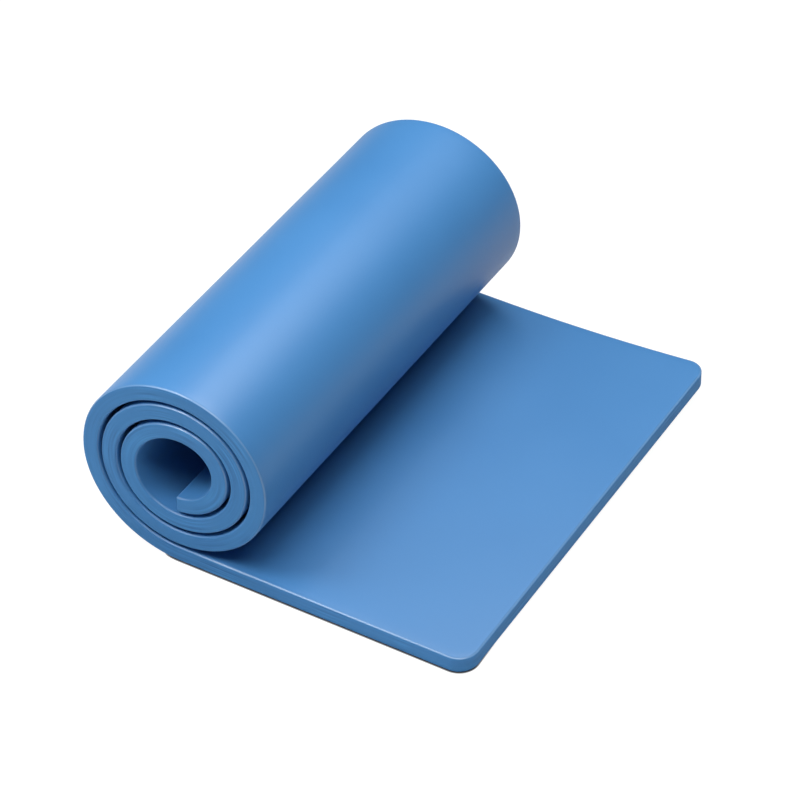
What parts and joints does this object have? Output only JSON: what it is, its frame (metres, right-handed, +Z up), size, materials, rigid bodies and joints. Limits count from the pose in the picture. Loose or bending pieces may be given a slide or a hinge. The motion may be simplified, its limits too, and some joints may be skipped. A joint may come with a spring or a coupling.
{
  "type": "foam sleeping pad",
  "caption": "Closed-cell foam sleeping pad, partly rolled up, with its free end lying flat; it unrolls flat and rolls up through coupled bends.",
  "frame": {"origin": "on the ground, at the middle of the strip of sheet that stays there under the roll, midway across the pad's width", "axes": "+X along the sheet towards its flat free end, +Y across the width along the roll, +Z up"},
  "size_m": [0.4494, 0.51, 0.2276],
  "materials": {
    "foam": "satin"
  },
  "bodies": {
    "ground": {"ground_strip": "foam"},
    "roll_01": {"roll_strip_01": "foam"},
    "roll_02": {"roll_strip_02": "foam"},
    "roll_03": {"roll_strip_03": "foam"},
    "roll_04": {"roll_strip_04": "foam"},
    "roll_05": {"roll_strip_05": "foam"},
    "roll_06": {"roll_strip_06": "foam"},
    "roll_07": {"roll_strip_07": "foam"},
    "roll_08": {"roll_strip_08": "foam"},
    "roll_09": {"roll_strip_09": "foam"},
    "roll_10": {"roll_strip_10": "foam"},
    "roll_11": {"roll_strip_11": "foam"},
    "roll_12": {"roll_strip_12": "foam"},
    "roll_13": {"roll_strip_13": "foam"},
    "roll_14": {"roll_strip_14": "foam"},
    "roll_15": {"roll_strip_15": "foam"},
    "roll_16": {"roll_strip_16": "foam"},
    "roll_17": {"roll_strip_17": "foam"},
    "roll_18": {"roll_strip_18": "foam"},
    "roll_19": {"roll_strip_19": "foam"},
    "roll_20": {"roll_strip_20": "foam"},
    "roll_21": {"roll_strip_21": "foam"},
    "roll_22": {"roll_strip_22": "foam"},
    "roll_23": {"roll_strip_23": "foam"},
    "roll_24": {"roll_strip_24": "foam"},
    "roll_25": {"roll_strip_25": "foam"},
    "roll_26": {"roll_strip_26": "foam"},
    "roll_27": {"roll_strip_27": "foam"},
    "roll_28": {"roll_strip_28": "foam"},
    "roll_29": {"roll_strip_29": "foam"},
    "roll_30": {"roll_strip_30": "foam"},
    "roll_31": {"roll_strip_31": "foam"},
    "roll_32": {"roll_strip_32": "foam"},
    "roll_33": {"roll_strip_33": "foam"},
    "roll_34": {"roll_strip_34": "foam"},
    "roll_35": {"roll_strip_35": "foam"},
    "roll_36": {"roll_strip_36": "foam"},
    "flat_01": {"flat_strip_01": "foam"},
    "flat_02": {"flat_strip_02": "foam"},
    "flat_03": {"flat_strip_03": "foam"},
    "flat_04": {"flat_strip_04": "foam"},
    "flat_05": {"flat_strip_05": "foam"},
    "flat_06": {"flat_strip_06": "foam"},
    "flat_07": {"flat_strip_07": "foam"}
  },
  "joints": [
    {"name": "unroll", "type": "hinge", "parent": "ground", "child": "roll_01", "pos_m": [-0.026, 0, 0], "axis": [0, -1, 0], "range_deg": [0, 15]},
    {"name": "unroll_02", "type": "hinge", "parent": "roll_01", "child": "roll_02", "pos_m": [-0.08411, 0, 0.01557], "axis": [0, -1, 0], "range_deg": [0, 30]},
    {"name": "unroll_03", "type": "hinge", "parent": "roll_02", "child": "roll_03", "pos_m": [-0.12298, 0, 0.05444], "axis": [0, -1, 0], "range_deg": [0, 30]},
    {"name": "unroll_04", "type": "hinge", "parent": "roll_03", "child": "roll_04", "pos_m": [-0.13739, 0, 0.1082], "axis": [0, -1, 0], "range_deg": [0, 30]},
    {"name": "unroll_05", "type": "hinge", "parent": "roll_04", "child": "roll_05", "pos_m": [-0.12172, 0, 0.16669], "axis": [0, -1, 0], "range_deg": [0, 30]},
    {"name": "unroll_06", "type": "hinge", "parent": "roll_05", "child": "roll_06", "pos_m": [-0.07662, 0, 0.21179], "axis": [0, -1, 0], "range_deg": [0, 30]},
    {"name": "unroll_07", "type": "hinge", "parent": "roll_06", "child": "roll_07", "pos_m": [-0.01758, 0, 0.22761], "axis": [0, -1, 0], "range_deg": [0, 30]},
    {"name": "unroll_08", "type": "hinge", "parent": "roll_07", "child": "roll_08", "pos_m": [0.03483, 0, 0.21356], "axis": [0, -1, 0], "range_deg": [0, 30]},
    {"name": "unroll_09", "type": "hinge", "parent": "roll_08", "child": "roll_09", "pos_m": [0.06953, 0, 0.17886], "axis": [0, -1, 0], "range_deg": [0, 30]},
    {"name": "unroll_10", "type": "hinge", "parent": "roll_09", "child": "roll_10", "pos_m": [0.08241, 0, 0.1308], "axis": [0, -1, 0], "range_deg": [0, 30]},
    {"name": "unroll_11", "type": "hinge", "parent": "roll_10", "child": "roll_11", "pos_m": [0.06826, 0, 0.07801], "axis": [0, -1, 0], "range_deg": [0, 30]},
    {"name": "unroll_12", "type": "hinge", "parent": "roll_11", "child": "roll_12", "pos_m": [0.02734, 0, 0.03709], "axis": [0, -1, 0], "range_deg": [0, 30]},
    {"name": "unroll_13", "type": "hinge", "parent": "roll_12", "child": "roll_13", "pos_m": [-0.026, 0, 0.0228], "axis": [0, -1, 0], "range_deg": [0, 30]},
    {"name": "unroll_14", "type": "hinge", "parent": "roll_13", "child": "roll_14", "pos_m": [-0.07271, 0, 0.03532], "axis": [0, -1, 0], "range_deg": [0, 30]},
    {"name": "unroll_15", "type": "hinge", "parent": "roll_14", "child": "roll_15", "pos_m": [-0.10324, 0, 0.06584], "axis": [0, -1, 0], "range_deg": [0, 30]},
    {"name": "unroll_16", "type": "hinge", "parent": "roll_15", "child": "roll_16", "pos_m": [-0.11459, 0, 0.1082], "axis": [0, -1, 0], "range_deg": [0, 30]},
    {"name": "unroll_17", "type": "hinge", "parent": "roll_16", "child": "roll_17", "pos_m": [-0.10197, 0, 0.15529], "axis": [0, -1, 0], "range_deg": [0, 30]},
    {"name": "unroll_18", "type": "hinge", "parent": "roll_17", "child": "roll_18", "pos_m": [-0.06522, 0, 0.19204], "axis": [0, -1, 0], "range_deg": [0, 30]},
    {"name": "unroll_19", "type": "hinge", "parent": "roll_18", "child": "roll_19", "pos_m": [-0.01758, 0, 0.20481], "axis": [0, -1, 0], "range_deg": [0, 30]},
    {"name": "unroll_20", "type": "hinge", "parent": "roll_19", "child": "roll_20", "pos_m": [0.02343, 0, 0.19382], "axis": [0, -1, 0], "range_deg": [0, 30]},
    {"name": "unroll_21", "type": "hinge", "parent": "roll_20", "child": "roll_21", "pos_m": [0.04978, 0, 0.16746], "axis": [0, -1, 0], "range_deg": [0, 30]},
    {"name": "unroll_22", "type": "hinge", "parent": "roll_21", "child": "roll_22", "pos_m": [0.05961, 0, 0.1308], "axis": [0, -1, 0], "range_deg": [0, 30]},
    {"name": "unroll_23", "type": "hinge", "parent": "roll_22", "child": "roll_23", "pos_m": [0.04852, 0, 0.08941], "axis": [0, -1, 0], "range_deg": [0, 30]},
    {"name": "unroll_24", "type": "hinge", "parent": "roll_23", "child": "roll_24", "pos_m": [0.01594, 0, 0.05684], "axis": [0, -1, 0], "range_deg": [0, 30]},
    {"name": "unroll_25", "type": "hinge", "parent": "roll_24", "child": "roll_25", "pos_m": [-0.026, 0, 0.0456], "axis": [0, -1, 0], "range_deg": [0, 30]},
    {"name": "unroll_26", "type": "hinge", "parent": "roll_25", "child": "roll_26", "pos_m": [-0.06131, 0, 0.05506], "axis": [0, -1, 0], "range_deg": [0, 30]},
    {"name": "unroll_27", "type": "hinge", "parent": "roll_26", "child": "roll_27", "pos_m": [-0.08349, 0, 0.07724], "axis": [0, -1, 0], "range_deg": [0, 30]},
    {"name": "unroll_28", "type": "hinge", "parent": "roll_27", "child": "roll_28", "pos_m": [-0.09179, 0, 0.1082], "axis": [0, -1, 0], "range_deg": [0, 30]},
    {"name": "unroll_29", "type": "hinge", "parent": "roll_28", "child": "roll_29", "pos_m": [-0.08223, 0, 0.14389], "axis": [0, -1, 0], "range_deg": [0, 30]},
    {"name": "unroll_30", "type": "hinge", "parent": "roll_29", "child": "roll_30", "pos_m": [-0.05382, 0, 0.1723], "axis": [0, -1, 0], "range_deg": [0, 30]},
    {"name": "unroll_31", "type": "hinge", "parent": "roll_30", "child": "roll_31", "pos_m": [-0.01758, 0, 0.18201], "axis": [0, -1, 0], "range_deg": [0, 30]},
    {"name": "unroll_32", "type": "hinge", "parent": "roll_31", "child": "roll_32", "pos_m": [0.01203, 0, 0.17407], "axis": [0, -1, 0], "range_deg": [0, 30]},
    {"name": "unroll_33", "type": "hinge", "parent": "roll_32", "child": "roll_33", "pos_m": [0.03004, 0, 0.15606], "axis": [0, -1, 0], "range_deg": [0, 30]},
    {"name": "unroll_34", "type": "hinge", "parent": "roll_33", "child": "roll_34", "pos_m": [0.03681, 0, 0.1308], "axis": [0, -1, 0], "range_deg": [0, 30]},
    {"name": "unroll_35", "type": "hinge", "parent": "roll_34", "child": "roll_35", "pos_m": [0.02877, 0, 0.10081], "axis": [0, -1, 0], "range_deg": [0, 30]},
    {"name": "unroll_36", "type": "hinge", "parent": "roll_35", "child": "roll_36", "pos_m": [0.00454, 0, 0.07658], "axis": [0, -1, 0], "range_deg": [0, 30]},
    {"name": "roll_up", "type": "hinge", "parent": "ground", "child": "flat_01", "pos_m": [0.026, 0, 0.019], "axis": [0, -1, 0], "range_deg": [0, 10.5]},
    {"name": "roll_up_02", "type": "hinge", "parent": "flat_01", "child": "flat_02", "pos_m": [0.06686, 0, 0.019], "axis": [0, -1, 0], "range_deg": [0, 21]},
    {"name": "roll_up_03", "type": "hinge", "parent": "flat_02", "child": "flat_03", "pos_m": [0.10771, 0, 0.019], "axis": [0, -1, 0], "range_deg": [0, 21]},
    {"name": "roll_up_04", "type": "hinge", "parent": "flat_03", "child": "flat_04", "pos_m": [0.14857, 0, 0.019], "axis": [0, -1, 0], "range_deg": [0, 21]},
    {"name": "roll_up_05", "type": "hinge", "parent": "flat_04", "child": "flat_05", "pos_m": [0.18943, 0, 0.019], "axis": [0, -1, 0], "range_deg": [0, 21]},
    {"name": "roll_up_06", "type": "hinge", "parent": "flat_05", "child": "flat_06", "pos_m": [0.23029, 0, 0.019], "axis": [0, -1, 0], "range_deg": [0, 21]},
    {"name": "roll_up_07", "type": "hinge", "parent": "flat_06", "child": "flat_07", "pos_m": [0.27114, 0, 0.019], "axis": [0, -1, 0], "range_deg": [0, 21]}
  ],
  "couplings": [
    {"joint": "unroll_02", "follows": "unroll", "ratio": 2},
    {"joint": "unroll_03", "follows": "unroll", "ratio": 2},
    {"joint": "unroll_04", "follows": "unroll", "ratio": 2},
    {"joint": "unroll_05", "follows": "unroll", "ratio": 2},
    {"joint": "unroll_06", "follows": "unroll", "ratio": 2},
    {"joint": "unroll_07", "follows": "unroll", "ratio": 2},
    {"joint": "unroll_08", "follows": "unroll", "ratio": 2},
    {"joint": "unroll_09", "follows": "unroll", "ratio": 2},
    {"joint": "unroll_10", "follows": "unroll", "ratio": 2},
    {"joint": "unroll_11", "follows": "unroll", "ratio": 2},
    {"joint": "unroll_12", "follows": "unroll", "ratio": 2},
    {"joint": "unroll_13", "follows": "unroll", "ratio": 2},
    {"joint": "unroll_14", "follows": "unroll", "ratio": 2},
    {"joint": "unroll_15", "follows": "unroll", "ratio": 2},
    {"joint": "unroll_16", "follows": "unroll", "ratio": 2},
    {"joint": "unroll_17", "follows": "unroll", "ratio": 2},
    {"joint": "unroll_18", "follows": "unroll", "ratio": 2},
    {"joint": "unroll_19", "follows": "unroll", "ratio": 2},
    {"joint": "unroll_20", "follows": "unroll", "ratio": 2},
    {"joint": "unroll_21", "follows": "unroll", "ratio": 2},
    {"joint": "unroll_22", "follows": "unroll", "ratio": 2},
    {"joint": "unroll_23", "follows": "unroll", "ratio": 2},
    {"joint": "unroll_24", "follows": "unroll", "ratio": 2},
    {"joint": "unroll_25", "follows": "unroll", "ratio": 2},
    {"joint": "unroll_26", "follows": "unroll", "ratio": 2},
    {"joint": "unroll_27", "follows": "unroll", "ratio": 2},
    {"joint": "unroll_28", "follows": "unroll", "ratio": 2},
    {"joint": "unroll_29", "follows": "unroll", "ratio": 2},
    {"joint": "unroll_30", "follows": "unroll", "ratio": 2},
    {"joint": "unroll_31", "follows": "unroll", "ratio": 2},
    {"joint": "unroll_32", "follows": "unroll", "ratio": 2},
    {"joint": "unroll_33", "follows": "unroll", "ratio": 2},
    {"joint": "unroll_34", "follows": "unroll", "ratio": 2},
    {"joint": "unroll_35", "follows": "unroll", "ratio": 2},
    {"joint": "unroll_36", "follows": "unroll", "ratio": 2},
    {"joint": "roll_up_02", "follows": "roll_up", "ratio": 2},
    {"joint": "roll_up_03", "follows": "roll_up", "ratio": 2},
    {"joint": "roll_up_04", "follows": "roll_up", "ratio": 2},
    {"joint": "roll_up_05", "follows": "roll_up", "ratio": 2},
    {"joint": "roll_up_06", "follows": "roll_up", "ratio": 2},
    {"joint": "roll_up_07", "follows": "roll_up", "ratio": 2}
  ]
}
